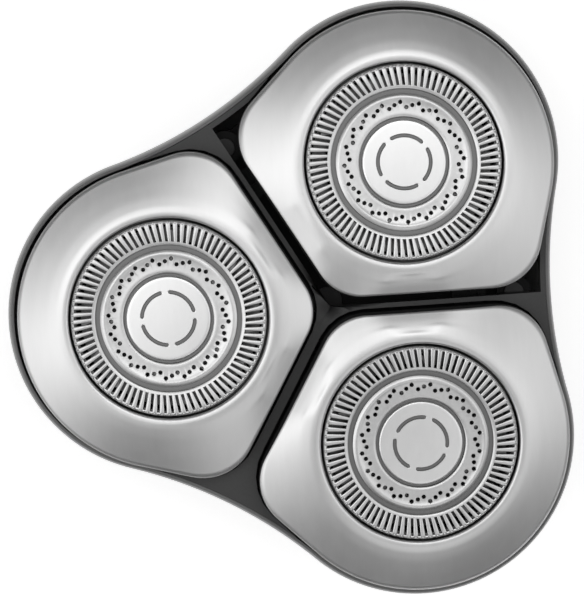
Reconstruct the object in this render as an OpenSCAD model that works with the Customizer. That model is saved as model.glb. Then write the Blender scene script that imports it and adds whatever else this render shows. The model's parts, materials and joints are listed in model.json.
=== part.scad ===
// Rotary shaver head: three sprung, tilting shaving heads on a clover-shaped drive unit.
// Millimetres. The origin is on the unit's axis, at the open end of the handle collar, +Z to the face.

/* [Layout] */
// Outward lean of each shaving head at rest, in degrees
head_lean = 5.5; // [4:0.5:6.5]
// Height of the point each head tilts about
pivot_z = 15.2; // [15:0.1:15.6]
// Height of a head's face above its tilt point, along the head's own axis
face_h = 5.4; // [5.4:0.05:5.6]
// Space between neighbouring skin plates
plate_gap = 1.45; // [1.3:0.05:1.7]
// How far the outline's waists reach past the heads' drive axes
waist_reach = 7; // [6.6:0.05:7.4]

/* [Skin plate] */
// Width of the plate from its opening to its outer arc
outer_land = 5.7; // [5.4:0.05:5.8]
// Corner radius at the two side corners
side_corner_r = 5.6; // [5:0.1:6]
// Corner radius at the corner next to the unit's middle
inner_corner_r = 5.2; // [4:0.1:6]
// Room between the skirt's straight sides and the carrier inside
skirt_room = 0.56; // [0.4:0.02:0.8]
// Height of the raised ring round the opening, above the head's face plane
crest_h = 0.22; // [0.1:0.02:0.4]
// Depth from the face plane to the middle of the rolled edge
edge_drop = 2.45; // [2.3:0.05:2.6]
// How far the skirt sits back under the rolled edge
skirt_inset = 0.3; // [0.25:0.01:0.4]
// Thickness of the skirt
skirt_t = 0.8; // [0.6:0.05:0.9]
// Thickness of the plate behind its raised ring, down from the face plane
plate_back = 1.9; // [1.7:0.05:2.1]
// Depth from the face plane to the bottom of the skirt
skirt_depth = 4.8; // [4.6:0.05:4.9]

/* [Shaving cap] */
// Radius of the cap
cap_r = 10.2; // [9.8:0.05:10.6]
// Gap between the cap and the plate's opening
cap_gap = 0.3; // [0.25:0.01:0.35]
// Height of the cap's tracks above the head's face plane
track_h = 0.2; // [0.1:0.02:0.3]
// Thickness of the cap's face from track to underside
cap_face_t = 0.65; // [0.6:0.01:0.75]
// Thickness of the cap's side wall
cap_wall_t = 0.45; // [0.4:0.01:0.5]
// Number of hair slots
slot_count = 82; // [60:1:86]
// Width of one slot
slot_w = 0.3; // [0.2:0.01:0.34]
// Length of the slotted track, in from the cap's edge
slot_len = 2.15; // [1.9:0.05:2.2]
// Skew of a slot against its radius, in degrees
slot_skew = 7; // [0:1:12]
// Number of slanted groups of three hair holes
hole_groups = 20; // [12:1:22]
// Radius of one hair hole
hole_r = 0.19; // [0.12:0.01:0.22]
// Distance of a group's middle hole inside the groove's middle
hole_in = 1.45; // [1.4:0.01:1.5]
// Travel of the cap into its plate
float_travel = 0.8; // [0.5:0.05:0.8]

/* [Cap disc] */
// Distance of the disc's edge inside the ring of hair holes
disc_in = 1.45; // [1.4:0.01:1.6]
// Distance of the four arc grooves inside the disc's edge
arc_in = 1.78; // [1.4:0.01:2]
// Width of an arc groove
arc_w = 0.3; // [0.2:0.01:0.4]
// Bare angle between two arc grooves, in degrees
arc_bridge = 22; // [12:1:40]

/* [Cutter] */
// Number of blades in each ring of the cutter
blade_count = 15; // [9:1:18]
// Thickness of a blade
blade_t = 0.35; // [0.25:0.01:0.45]
// Rake of a blade, in degrees
blade_rake = 22; // [10:1:28]
// Thickness of the cutter's plate
cutter_t = 0.35; // [0.3:0.01:0.4]
// Radius of the cutter's hub
hub_r = 3.4; // [3.2:0.05:3.6]

/* [Drive] */
// Teeth on the drive gear, a multiple of three
drive_teeth = 27; // [24:3:30]
// Teeth on each driven gear
driven_teeth = 39; // [37:2:43]
// Thickness of the gears
gear_t = 2; // [1.5:0.1:2.1]
// Play between meshing teeth, as an angle at the driven gear
backlash = 0.45; // [0.35:0.05:0.7]
// Distance across the flats of the spindle's hexagonal head
head_af = 2.7; // [2.4:0.05:2.8]
// Outer radius of the spindle's barrel
barrel_r = 2.25; // [2.1:0.05:2.3]
// Wire diameter of the spindle spring
wire_d = 0.32; // [0.25:0.01:0.36]
// Working turns of the spindle spring
spring_turns = 5; // [3:1:6]
// Radius of the axle pins
axle_r = 1; // [0.8:0.05:1.05]
// Radius of the drive coupling in its bearing
coupling_r = 3.2; // [3:0.05:3.5]
// Distance across the flats of the coupling's hexagonal socket
socket_af = 3.6; // [3:0.05:4]

/* [Housing] */
// How far the rim's lobes reach past the skin plates
rim_over = 0.5; // [0.4:0.02:0.7]
// Bore of the collar that the handle's neck enters
collar_bore_r = 9.5; // [9:0.1:9.8]
// Thickness of the collar's wall
collar_wall = 2; // [1.5:0.1:2.5]
// Height of the collar, up to the housing's floor
collar_h = 5.2; // [5:0.1:5.3]
// Thickness of the housing's floor
floor_t = 1.6; // [1.4:0.1:1.7]
// Thickness of the rim at its top
rim_t = 0.6; // [0.55:0.01:0.62]
// Thickness of the housing's wall
wall_t = 1.3; // [1.2:0.05:1.4]

/* [Front frame] */
// Height of the middle of the front frame
deck_top = 18.65; // [18.5:0.05:18.7]
// Radius of the shallow dome that the front frame follows
dome_r = 178; // [170:1:190]
// Thickness of the front frame
deck_t = 1.6; // [1.4:0.05:1.7]
// Width of the rim strip beside the open window
rim_strip = 0.55; // [0.5:0.05:0.7]
// Gap between a skin plate's edge and its window
window_gap = 0.16; // [0.14:0.01:0.3]

/* [Fits] */
// Radial running clearance of shafts in their bores
run_fit = 0.05; // [0.03:0.01:0.08]
// Clearance between pieces that only pass each other
pass_gap = 0.35; // [0.3:0.01:0.4]
// Gap between faces that slide over each other
slide_gap = 0.1; // [0.08:0.01:0.12]

/* [Hidden] */
$fn = 96;
plate_black = "#161618";
frame_grey = "#3b3b3d";
housing_grey = "#5e5f61";
satin_steel = "#c3c3c2";
bright_steel = "#dcdcda";
white_plastic = "#d8d6cf";

lobe_angles = [60, 180, 300];
eps = 0.01;
ray_step = 5;
rays = [for (a = [0:ray_step:359]) a];

// head frame, from the pivot along the head's own axis
opening_r = cap_r + cap_gap;
flange_lip = 0.6;
flange_r = opening_r + flange_lip;
seat_slack = 0.25;
seat_r = flange_r + seat_slack;
seat_wall = 0.8;
plate_r = opening_r + outer_land;
plate_rise = (face_h - edge_drop) * sin(head_lean);
foot_d = seat_r + seat_wall + skirt_room + skirt_t + skirt_inset;
lobe_r = (foot_d + plate_gap / 2) / sin(60) - plate_rise;
side_a = 103.5;
side_d = (foot_d - side_corner_r) / cos(150 - side_a);
inner_d = (foot_d - inner_corner_r) / cos(30);
bulge_a = side_a - acos((plate_r - side_corner_r) / side_d);
flange_t = 0.6;
plate_under = -plate_back;
flange_top = plate_under - 0.5;
seat_bottom = -face_h + 0.1;
lug_w = 2.8;
lug_t = 1.4;
lug_in = seat_r + 0.25;
trunnion_r = 0.75;
trunnion_len = 1.3;
ear_t = 1.1;
ear_gap = 0.15;
ear_in = lug_in + lug_t + ear_gap;
ear_out = ear_in + ear_t;
ear_w = 3;
pivot_reach = 1.3;

// cap and cutter, measured from the head's face plane
cap_under = track_h - cap_face_t;
flange_bottom = flange_top - flange_t;
slot_in_r = cap_r - slot_len;
groove_w = 0.7;
groove_r = slot_in_r - groove_w / 2 - 0.25;
hole_ring_r = groove_r - hole_in;
hole_step = 0.27;
disc_r = hole_ring_r - disc_in;
arc_ring_r = disc_r - arc_in;
disc_boss_r = 1.85;
disc_boss_drop = 1.3;
stub_r = 0.9;
blade_top = cap_under - slide_gap / 2;
cutter_top = flange_bottom + cutter_t;
cutter_out_r = cap_r - cap_wall_t - pass_gap;
blade_land = 0.6;
window_r = 0.6;
hub_flange_r = hub_r + 0.8;
hub_flange_t = 0.3;
hub_top = -1.9;
socket_tube_r = 2.6;
socket_reach = 0.9;
socket_gap = 0.25;
head_ball_r = 1.2;
ring_top = flange_bottom - float_travel - slide_gap;
ring_t = 1.2;
ring_w = 4.15;
ring_in_r = seat_r - ring_w;
ring_hole_r = 1.1;

// drive train, heights above the collar's open end
gear_module = 2 * lobe_r / (drive_teeth + driven_teeth);
gear_z = collar_h + floor_t + 1.2;
plate_z = gear_z + 3.2;
plate_t = 1.2;
plate_inset = 2.7;
boss_r = 3.2;
boss_top = plate_z + plate_t + 0.4;
gear_floor = 0.9;
barrel_top = pivot_z - 2.2;
barrel_bottom = gear_z + gear_t + 0.1;
barrel_wall = 0.5;
barrel_cap = 0.7;
key_w = 0.8;
key_h = 0.4;
neck_r = 0.9;
head_half = 0.9;
spring_r = 1.4;
spring_bottom = gear_z + gear_floor;
spring_top = barrel_top - barrel_cap;
shaft_r = 1.6;
coupling_head_top = gear_z - 0.4;
socket_depth = 1.9;

// housing and frame
face_centre_r = lobe_r + face_h * sin(head_lean);
rim_lobe_r = plate_r + rim_over;
waist_r = lobe_r + waist_reach;
waist_d = (pow(face_centre_r, 2) - pow(rim_lobe_r - waist_r, 2))
    / (face_centre_r + 2 * (rim_lobe_r - waist_r));
waist_arc_r = waist_d - waist_r;
screw_r0 = waist_r - 8.5;
screw_shank_r = 0.9;
screw_head_r = 1.8;
screw_head_h = 1;
screw_len = 5;
post_r = 2.2;
peg_r = 1;
peg_boss_r = peg_r + 0.8;
peg_boss_h = 1.8;
peg_post_r = peg_r + 0.5;
peg_r0 = waist_r - wall_t - peg_boss_r - 2 * pass_gap;
peg_seat_z = plate_z + plate_t + peg_boss_h;
lobe_cut_r = rim_lobe_r - 0.2;
// the shell's wall, as distance inside the outline and height above the floor's underside
shell_foot = [6.4, 0];
shell_turn = [5, 0.4];
shell_flank = [3, 2.2];
shell_belly = [1.1, 5];
shell_shoulder = [0.15, 7.4];
rim_depth = 2;

// Distance from the centre to a circle's far side, along a ray that passes off by angle a
function ray_to_circle(d, r, a) = d * cos(a) + sqrt(pow(r, 2) - pow(d * sin(a), 2));

// Angle of the point where an arc about [d, a] of radius r ends at the normal angle n
function end_angle(d, a, r, n) = atan2(d * sin(a) + r * sin(n), d * cos(a) + r * cos(n));

// Outline of a skin plate about its cap, in from the edge, at angle a from the outward direction
function plate_edge(a, inset) =
    let (t = a > 180 ? 360 - a : a)
    t < bulge_a ? plate_r - inset
    : t < end_angle(side_d, side_a, side_corner_r, bulge_a) ? (plate_r - inset) / cos(t - bulge_a)
    : t < end_angle(side_d, side_a, side_corner_r, 150)
        ? ray_to_circle(side_d, side_corner_r - inset, t - side_a)
    : t < end_angle(inner_d, 180, inner_corner_r, 150) ? (foot_d - inset) / cos(t - 150)
    : ray_to_circle(inner_d, inner_corner_r - inset, 180 - t);

// Clover outline of the unit about its axis, grown by g, at angle a
function clover_edge(a, g) =
    let (t = abs((a % 120) - 60))
    let (join = atan2(
        (rim_lobe_r + g) * sin(end_normal),
        face_centre_r + (rim_lobe_r + g) * cos(end_normal)))
    t < join ? ray_to_circle(face_centre_r, rim_lobe_r + g, t)
    : waist_d * cos(60 - t) - sqrt(pow(waist_arc_r - g, 2) - pow(waist_d * sin(60 - t), 2));
end_normal = atan2(waist_d * sin(60), waist_d * cos(60) - face_centre_r);

// Height of the front frame's dome at distance r from the axis
function dome_z(r) = deck_top - dome_r + sqrt(pow(dome_r, 2) - pow(r, 2));

function circle_ring(r, z) = [for (a = rays) [r * cos(a), r * sin(a), z]];
function plate_ring(inset, z) =
    [for (a = rays) let (r = plate_edge(a, inset)) [r * cos(a), r * sin(a), z]];
function plate_mid_ring(r, inset, z) =
    [for (a = rays) let (p = min(r, plate_edge(a, inset))) [p * cos(a), p * sin(a), z]];
function clover_ring(g, z) =
    [for (a = rays) let (r = clover_edge(a, g)) [r * cos(a), r * sin(a), z]];
function domed_ring(g, drop) =
    [for (a = rays) let (r = clover_edge(a, g)) [r * cos(a), r * sin(a), dome_z(r) - drop]];
function mean_ring(p, q, z) = [for (k = [0:len(p) - 1]) [(p[k].x + q[k].x) / 2, (p[k].y + q[k].y) / 2, z]];

// A closed skin through a loop of rings, with the last ring joined to the first
module ring_loft(rings) {
    n = len(rings[0]);
    m = len(rings);
    points = [for (ring = rings) each ring];
    faces = [
        for (i = [0:m - 1], k = [0:n - 1])
            let (j = (i + 1) % m, l = (k + 1) % n)
            each [[i * n + k, j * n + k, j * n + l], [i * n + k, j * n + l, i * n + l]]
    ];
    polyhedron(points = points, faces = faces, convexity = 8);
}

module at_lobe(i) {
    rotate([0, 0, lobe_angles[i - 1]]) translate([lobe_r, 0, 0]) children();
}

// The head's own frame: origin at the tilt point, +Z along the head's axis, +X outward
module at_head(i) {
    at_lobe(i) translate([0, 0, pivot_z]) rotate([0, head_lean, 0]) children();
}

// The head's frame with its origin on the face plane
module at_face(i) {
    at_head(i) translate([0, 0, face_h]) children();
}

module at_waists(r) {
    for (a = lobe_angles) rotate([0, 0, a + 60]) translate([r, 0, 0]) children();
}

module clover(g) {
    polygon([for (a = rays) let (r = clover_edge(a, g)) [r * cos(a), r * sin(a)]]);
}

module plate_outline(inset) {
    polygon([for (a = rays) let (r = plate_edge(a, inset)) [r * cos(a), r * sin(a)]]);
}

module tube(r_out, r_in, z0, z1) {
    difference() {
        translate([0, 0, z0]) cylinder(r = r_out, h = z1 - z0);
        translate([0, 0, z0 - 1]) cylinder(r = r_in, h = z1 - z0 + 2);
    }
}

// Involute flank: angle of the profile at radius r on a base circle rb
function involute_a(r, rb) = let (k = sqrt(max(0, pow(r / rb, 2) - 1))) k * 180 / PI - atan(k);

// Gear outline with a tooth on +X; slack thins each tooth, in degrees
module gear_outline(teeth, slack) {
    rp = gear_module * teeth / 2;
    rb = rp * cos(20);
    tip = rp + 0.9 * gear_module;
    root = rp - 1.15 * gear_module;
    half = 90 / teeth - slack / 2 + involute_a(rp, rb);
    flank = [for (s = [0:3]) let (r = max(rb, root) + (tip - max(rb, root)) * s / 3)
        [r, half - involute_a(r, rb)]];
    side = concat([[root, half]], flank);
    polygon([
        for (t = [0:teeth - 1], s = [-1, 1], k = [0:len(side) - 1])
            let (p = side[s < 0 ? k : len(side) - 1 - k], a = t * 360 / teeth + s * p[1])
            [p[0] * cos(a), p[0] * sin(a)]
    ]);
}

module back_housing() {
    bottom = collar_h;
    top = collar_h + floor_t;
    color(housing_grey) difference() {
        union() {
            ring_loft([
                circle_ring(coupling_r - 1, top),
                circle_ring(coupling_r - 1, bottom),
                clover_ring(-shell_foot[0], bottom + shell_foot[1]),
                clover_ring(-shell_turn[0], bottom + shell_turn[1]),
                clover_ring(-shell_flank[0], bottom + shell_flank[1]),
                clover_ring(-shell_belly[0], bottom + shell_belly[1]),
                clover_ring(-shell_shoulder[0], bottom + shell_shoulder[1]),
                domed_ring(0, rim_depth),
                domed_ring(-0.1, rim_depth / 2 + 0.1),
                domed_ring(-0.3, 0.5),
                domed_ring(-rim_t + 0.12, 0.2),
                domed_ring(-rim_t, 0.25),
                clover_ring(-shell_shoulder[0] - rim_t, bottom + shell_shoulder[1]),
                clover_ring(-shell_belly[0] - wall_t, bottom + shell_belly[1]),
                clover_ring(-shell_flank[0] - wall_t, bottom + shell_flank[1] + 0.4),
                clover_ring(-shell_flank[0] - wall_t - 0.9, top)
            ]);
            tube(collar_bore_r + collar_wall, collar_bore_r, 0, collar_h + eps);
            for (i = [1:3]) at_lobe(i) tube(axle_r + 1, axle_r, top - eps, gear_z - 0.2);
            at_waists(screw_r0) tube(post_r, screw_shank_r, top - eps, plate_z);
            tube(coupling_r + 1.4, coupling_r + run_fit, top - eps, top + 0.4);
        }
        translate([0, 0, bottom - 1]) cylinder(r = coupling_r + run_fit, h = floor_t + 2);
        for (i = [1:3]) at_lobe(i) translate([0, 0, bottom + 0.6]) cylinder(r = axle_r, h = floor_t);
        at_waists(screw_r0) translate([0, 0, bottom + 1]) cylinder(r = screw_shank_r, h = floor_t);
    }
}

module bearing_plate() {
    color(plate_black) difference() {
        union() {
            translate([0, 0, plate_z]) linear_extrude(plate_t) clover(-plate_inset);
            for (i = [1:3], s = [-1, 1]) at_lobe(i) {
                translate([-ear_w / 2, s > 0 ? ear_in : -ear_out, plate_z + plate_t - eps])
                    cube([ear_w, ear_t, pivot_z + pivot_reach - plate_z - plate_t]);
            }
            at_waists(peg_r0) tube(peg_boss_r, peg_r + run_fit, plate_z, plate_z + plate_t + peg_boss_h);
        }
        for (i = [1:3]) at_lobe(i) {
            translate([0, 0, plate_z - 1]) cylinder(r = boss_r + run_fit, h = plate_t + 2);
            translate([0, ear_out + 1, pivot_z]) rotate([90, 0, 0])
                cylinder(r = trunnion_r + run_fit, h = 2 * ear_out + 2);
        }
        translate([0, 0, plate_z - 1]) cylinder(r = shaft_r + run_fit, h = plate_t + 2);
        at_waists(screw_r0) translate([0, 0, plate_z - 1]) cylinder(r = screw_shank_r + run_fit, h = plate_t + 2);
        at_waists(peg_r0) translate([0, 0, plate_z - 1]) cylinder(r = peg_r + run_fit, h = plate_t + 4);
    }
}

// Window for one head: its plate's outline, and beyond the plate all that lies inside the rim
module head_window(i) {
    rotate([0, 0, lobe_angles[i - 1]]) {
        translate([lobe_r + plate_rise * 0.7, 0, 0]) plate_outline(-window_gap);
        polygon([for (a = [-90:5:90]) [face_centre_r + lobe_cut_r * cos(a), lobe_cut_r * sin(a)]]);
    }
}

// The first head's window is a whole third of the deck, as far as the rim strip
module open_window() {
    intersection() {
        clover(-rim_t - run_fit - rim_strip);
        rotate([0, 0, lobe_angles[0]])
            polygon([[0, 0], [waist_r, -waist_r * tan(60)], [3 * waist_r, 0], [waist_r, waist_r * tan(60)]]);
    }
}

// Shallow dome of cones, as thick as the front frame
module dome_shell() {
    rings = [for (k = [0:4]) k * (face_centre_r + rim_lobe_r + 2) / 4];
    rotate_extrude() polygon(concat(
        [for (r = rings) [r, dome_z(r)]],
        [for (k = [len(rings) - 1:-1:0]) [rings[k], dome_z(rings[k]) - deck_t]]
    ));
}

// The frame as seen from above: three arms with flared ends, two of them half as wide
module frame_plan() {
    difference() {
        clover(-rim_t - run_fit);
        open_window();
        for (i = [1:3]) head_window(i);
    }
}

module front_frame() {
    color(frame_grey) {
        intersection() {
            dome_shell();
            translate([0, 0, plate_z]) linear_extrude(deck_top + 1 - plate_z) frame_plan();
        }
        at_waists(peg_r0) translate([0, 0, plate_z + 0.2]) cylinder(r = peg_r, h = peg_seat_z - plate_z);
        intersection() {
            at_waists(peg_r0) translate([0, 0, peg_seat_z])
                cylinder(r = peg_post_r, h = dome_z(peg_r0) - deck_t / 2 - peg_seat_z);
            translate([0, 0, peg_seat_z]) linear_extrude(deck_top) frame_plan();
        }
    }
}

module plate_screws() {
    color(satin_steel) at_waists(screw_r0) difference() {
        union() {
            translate([0, 0, plate_z + plate_t]) cylinder(r = screw_head_r, h = screw_head_h);
            translate([0, 0, plate_z + plate_t - screw_len]) cylinder(r = screw_shank_r, h = screw_len);
        }
        for (a = [0, 90]) rotate([0, 0, a])
            translate([-1, -0.2, plate_z + plate_t + screw_head_h - 0.5]) cube([2, 0.4, 1]);
    }
}

module axle_pin(i) {
    color(bright_steel) at_lobe(i) translate([0, 0, collar_h + 0.6])
        cylinder(r = axle_r, h = gear_z + gear_floor + 0.9 - collar_h - 0.6);
}

module drive_coupling() {
    color(white_plastic) difference() {
        union() {
            translate([0, 0, collar_h + slide_gap])
                cylinder(r = coupling_r, h = coupling_head_top - collar_h - slide_gap);
            translate([0, 0, coupling_head_top - eps]) cylinder(r = shaft_r + 1, h = 0.4 + eps);
            translate([0, 0, gear_z - eps]) cylinder(r = shaft_r, h = plate_z + plate_t - gear_z);
        }
        translate([0, 0, collar_h]) cylinder(r = socket_af / sqrt(3), h = socket_depth, $fn = 6);
    }
}

module drive_gear() {
    color(white_plastic) translate([0, 0, gear_z]) difference() {
        linear_extrude(gear_t) rotate([0, 0, lobe_angles[0] + 180 / drive_teeth])
            gear_outline(drive_teeth, 0);
        translate([0, 0, -1]) cylinder(r = shaft_r, h = gear_t + 2);
    }
}

module driven_gear(i) {
    color(white_plastic) at_lobe(i) difference() {
        union() {
            translate([0, 0, gear_z]) linear_extrude(gear_t) rotate([0, 0, 180])
                gear_outline(driven_teeth, backlash);
            translate([0, 0, gear_z]) cylinder(r = boss_r, h = boss_top - gear_z);
        }
        translate([0, 0, gear_z - 1]) cylinder(r = axle_r + run_fit, h = gear_t);
        translate([0, 0, gear_z + gear_floor]) cylinder(r = barrel_r + run_fit, h = boss_top);
        for (a = [0, 180]) rotate([0, 0, a])
            translate([0, -key_w / 2 - 0.08, gear_z + gear_floor])
                cube([barrel_r + key_h + 0.08, key_w + 0.16, boss_top]);
    }
}

module spindle(i) {
    color(white_plastic) at_lobe(i) {
        difference() {
            union() {
                translate([0, 0, barrel_bottom]) cylinder(r = barrel_r, h = barrel_top - barrel_bottom);
                for (a = [0, 180]) rotate([0, 0, a]) translate([0, -key_w / 2, barrel_bottom])
                    cube([barrel_r + key_h, key_w, 1.6]);
            }
            translate([0, 0, barrel_bottom - 1])
                cylinder(r = barrel_r - barrel_wall, h = spring_top - barrel_bottom + 1);
        }
        translate([0, 0, barrel_top - eps]) cylinder(r = neck_r, h = pivot_z - barrel_top);
        translate([0, 0, pivot_z]) {
            intersection() {
                translate([0, 0, -head_half]) cylinder(r = head_af / sqrt(3), h = 2 * head_half, $fn = 6);
                sphere(r = head_af / sqrt(3) + 0.1);
            }
            sphere(r = head_ball_r);
        }
    }
}

// Compression spring: a round wire swept along a helix, with its first and last turns closed
module spindle_spring(i) {
    turns = spring_turns + 1;
    per_turn = 14;
    sides = 6;
    steps = turns * per_turn;
    z0 = spring_bottom + wire_d / 2 + 0.02;
    rise = spring_top - spring_bottom - wire_d - 0.04;
    z_at = function (s) let (u = s / steps * turns)
        u < 0.5 ? u * wire_d
        : u > turns - 0.5 ? rise - (turns - u) * wire_d
        : wire_d / 2 + (rise - wire_d) * (u - 0.5) / (turns - 1);
    rings = [for (s = [0:steps]) let (a = s * 360 / per_turn)
        [for (k = [0:sides - 1]) let (b = k * 360 / sides, r = spring_r + wire_d / 2 * cos(b))
            [r * cos(a), r * sin(a), z0 + z_at(s) + wire_d / 2 * sin(b)]]];
    last = steps * sides;
    faces = concat(
        [for (s = [0:steps - 1], k = [0:sides - 1])
            let (p = s * sides, q = p + sides, l = (k + 1) % sides)
            each [[p + k, q + k, q + l], [p + k, q + l, p + l]]],
        [[for (k = [0:sides - 1]) k]],
        [[for (k = [sides - 1:-1:0]) last + k]]
    );
    color(bright_steel) at_lobe(i) polyhedron(points = [for (r = rings) each r], faces = faces, convexity = 8);
}

module cutter_hub(i) {
    socket_floor = pivot_clear_top();
    color(white_plastic) at_face(i) difference() {
        union() {
            translate([0, 0, flange_bottom - hub_flange_t])
                cylinder(r = hub_r, h = hub_top - flange_bottom + hub_flange_t);
            translate([0, 0, flange_bottom - hub_flange_t]) cylinder(r = hub_flange_r, h = hub_flange_t);
            translate([0, 0, hub_top - eps]) cylinder(r = stub_r, h = cap_under - hub_top - 0.1);
            translate([0, 0, -face_h - socket_reach])
                cylinder(r = socket_tube_r, h = face_h + socket_reach + flange_bottom);
        }
        translate([0, 0, -face_h - socket_reach - 1])
            cylinder(r = (head_af + 2 * socket_gap) / sqrt(3), h = socket_reach + 1 + socket_floor, $fn = 6);
    }
}
function pivot_clear_top() = head_ball_r + slide_gap;

module cutter_blades(r_in, r_out) {
    for (k = [0:blade_count - 1]) rotate([0, 0, k * 360 / blade_count])
        translate([(r_in + r_out) / 2, 0, 0]) rotate([0, 0, blade_rake])
            translate([-(r_out - r_in) / 2, -blade_t / 2, cutter_top - eps])
                cube([r_out - r_in, blade_t, blade_top - cutter_top + eps]);
}

module cutter(i) {
    color(bright_steel) at_face(i) {
        difference() {
            translate([0, 0, flange_bottom]) cylinder(r = cutter_out_r, h = cutter_t);
            translate([0, 0, flange_bottom - 1]) cylinder(r = hub_r, h = 2);
            for (k = [0:blade_count - 1]) rotate([0, 0, (k + 0.5) * 360 / blade_count])
                translate([groove_r, 0, flange_bottom - 1]) cylinder(r = window_r, h = 2);
        }
        cutter_blades(slot_in_r, cutter_out_r - 0.2);
        cutter_blades(hole_ring_r - blade_land, hole_ring_r + blade_land);
    }
}

// Cap: slotted track outside, ring of hair holes inside, a groove between them
module shaving_cap(i) {
    track = track_h;
    color(satin_steel) at_face(i) difference() {
        rotate_extrude() polygon([
            [disc_boss_r + 0.1, -0.15], [disc_r + 0.1, -0.15], [disc_r + 0.1, 0], [disc_r + 0.35, track],
            [hole_ring_r + 0.6, track], [hole_ring_r + 0.7, track + 0.08], [hole_ring_r + 0.9, track + 0.08],
            [groove_r - groove_w / 2, track - 0.15], [groove_r - groove_w / 2, track - 0.35],
            [groove_r + groove_w / 2, track - 0.35], [groove_r + groove_w / 2, track - 0.05],
            [slot_in_r, track], [(slot_in_r + cap_r) / 2, track + 0.06], [cap_r - 0.35, track],
            [cap_r - 0.1, track - 0.15], [cap_r, track - 0.45], [cap_r, flange_top],
            [flange_r, flange_top], [flange_r, flange_bottom], [cap_r - cap_wall_t, flange_bottom],
            [cap_r - cap_wall_t, cap_under], [disc_boss_r + 0.1, cap_under]
        ]);
        for (k = [0:slot_count - 1]) rotate([0, 0, k * 360 / slot_count])
            translate([slot_in_r, 0, 0]) rotate([0, 0, slot_skew])
                translate([0, -slot_w / 2, cap_under - 0.1]) cube([cap_r - slot_in_r + 0.3, slot_w, 2]);
        for (g = [0:hole_groups - 1], k = [-1, 0, 1])
            rotate([0, 0, (g + k / 3) * 360 / hole_groups])
                translate([hole_ring_r - k * hole_step, 0, cap_under - 1]) cylinder(r = hole_r, h = 3, $fn = 16);
    }
}

module cap_disc(i) {
    arc_turn = [0, 4, 12];
    color(bright_steel) at_face(i) difference() {
        union() {
            rotate_extrude() polygon([
                [0, -0.15], [disc_r, -0.15], [disc_r, 0.12], [disc_r - 0.12, 0.24], [0, 0.3]
            ]);
            translate([0, 0, -disc_boss_drop]) cylinder(r = disc_boss_r, h = disc_boss_drop - 0.1);
        }
        translate([0, 0, -disc_boss_drop - 1])
            cylinder(r = stub_r + run_fit, h = disc_boss_drop + cap_under + 1 + 0.1);
        for (q = [0:3]) rotate([0, 0, q * 90 + arc_bridge / 2 + arc_turn[i - 1]])
            rotate_extrude(angle = 90 - arc_bridge)
                translate([arc_ring_r - arc_w / 2, 0.12]) square([arc_w, 1]);
    }
}

module retaining_ring(i) {
    color(plate_black) at_face(i) {
        difference() {
            translate([0, 0, ring_top - ring_t]) cylinder(r = seat_r - run_fit, h = ring_t);
            translate([0, 0, ring_top - ring_t - 1]) cylinder(r = ring_in_r, h = ring_t + 2);
            for (k = [0:5]) rotate([0, 0, k * 60 + 30])
                translate([(ring_in_r + seat_r) / 2, 0, ring_top - ring_t - 1])
                    cylinder(r = ring_hole_r, h = ring_t + 2);
        }
    }
}

// Seat for the cap's flange and the retaining ring, with the two trunnions that the head tilts on
module head_carrier(i) {
    color(plate_black) at_face(i) {
        difference() {
            translate([0, 0, seat_bottom]) cylinder(r = seat_r + seat_wall, h = plate_under - seat_bottom);
            translate([0, 0, seat_bottom - 1]) cylinder(r = opening_r, h = face_h);
            translate([0, 0, seat_bottom - 1]) cylinder(r = seat_r, h = flange_top + slide_gap - seat_bottom + 1);
        }
        for (s = [-1, 1]) {
            translate([-lug_w / 2, s > 0 ? lug_in : -lug_in - lug_t, -face_h - pivot_reach])
                cube([lug_w, lug_t, pivot_reach + 0.6]);
            translate([0, s * (lug_in + lug_t - 0.1), -face_h]) rotate([-90 * s, 0, 0])
                cylinder(r = trunnion_r, h = trunnion_len + 0.1);
        }
    }
}

// Pressed plate: a raised ring round the opening, a gentle dome and a rolled edge with a skirt
module skin_plate(i) {
    foot = plate_mid_ring(opening_r + 2.1, 1.2, -0.42);
    slope_end = plate_ring(0.75, -edge_drop + 1.2);
    color(satin_steel) at_face(i) difference() {
        ring_loft([
            circle_ring(opening_r - 0.6, plate_under),
            circle_ring(seat_r + seat_wall, plate_under),
            plate_ring(skirt_inset + skirt_t, -edge_drop),
            plate_ring(skirt_inset + skirt_t, -skirt_depth),
            plate_ring(skirt_inset, -skirt_depth),
            plate_ring(skirt_inset, -edge_drop - 0.35),
            plate_ring(0, -edge_drop),
            plate_ring(0.08, -edge_drop + 0.47),
            plate_ring(0.35, -edge_drop + 0.9),
            slope_end,
            mean_ring(foot, slope_end, (foot[0].z + slope_end[0].z) / 2 + 0.085),
            foot,
            circle_ring(opening_r + 1.35, crest_h - 0.25),
            circle_ring(opening_r + 0.7, crest_h),
            circle_ring(opening_r + 0.25, crest_h - 0.12),
            circle_ring(opening_r - 0.6, -0.1)
        ]);
        translate([0, 0, plate_under - 1]) cylinder(r = opening_r, h = plate_back + crest_h + 2);
    }
}

back_housing();
bearing_plate();
front_frame();
plate_screws();
drive_coupling();
drive_gear();
for (i = [1:3]) {
    axle_pin(i);
    driven_gear(i);
    spindle(i);
    spindle_spring(i);
    cutter_hub(i);
    cutter(i);
    shaving_cap(i);
    cap_disc(i);
    retaining_ring(i);
    head_carrier(i);
    skin_plate(i);
}
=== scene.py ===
import json
from math import atan2, cos, degrees, hypot, pi, radians, sin, sqrt

import bmesh
import bpy
import numpy as np
from mathutils import Matrix, Vector


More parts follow.
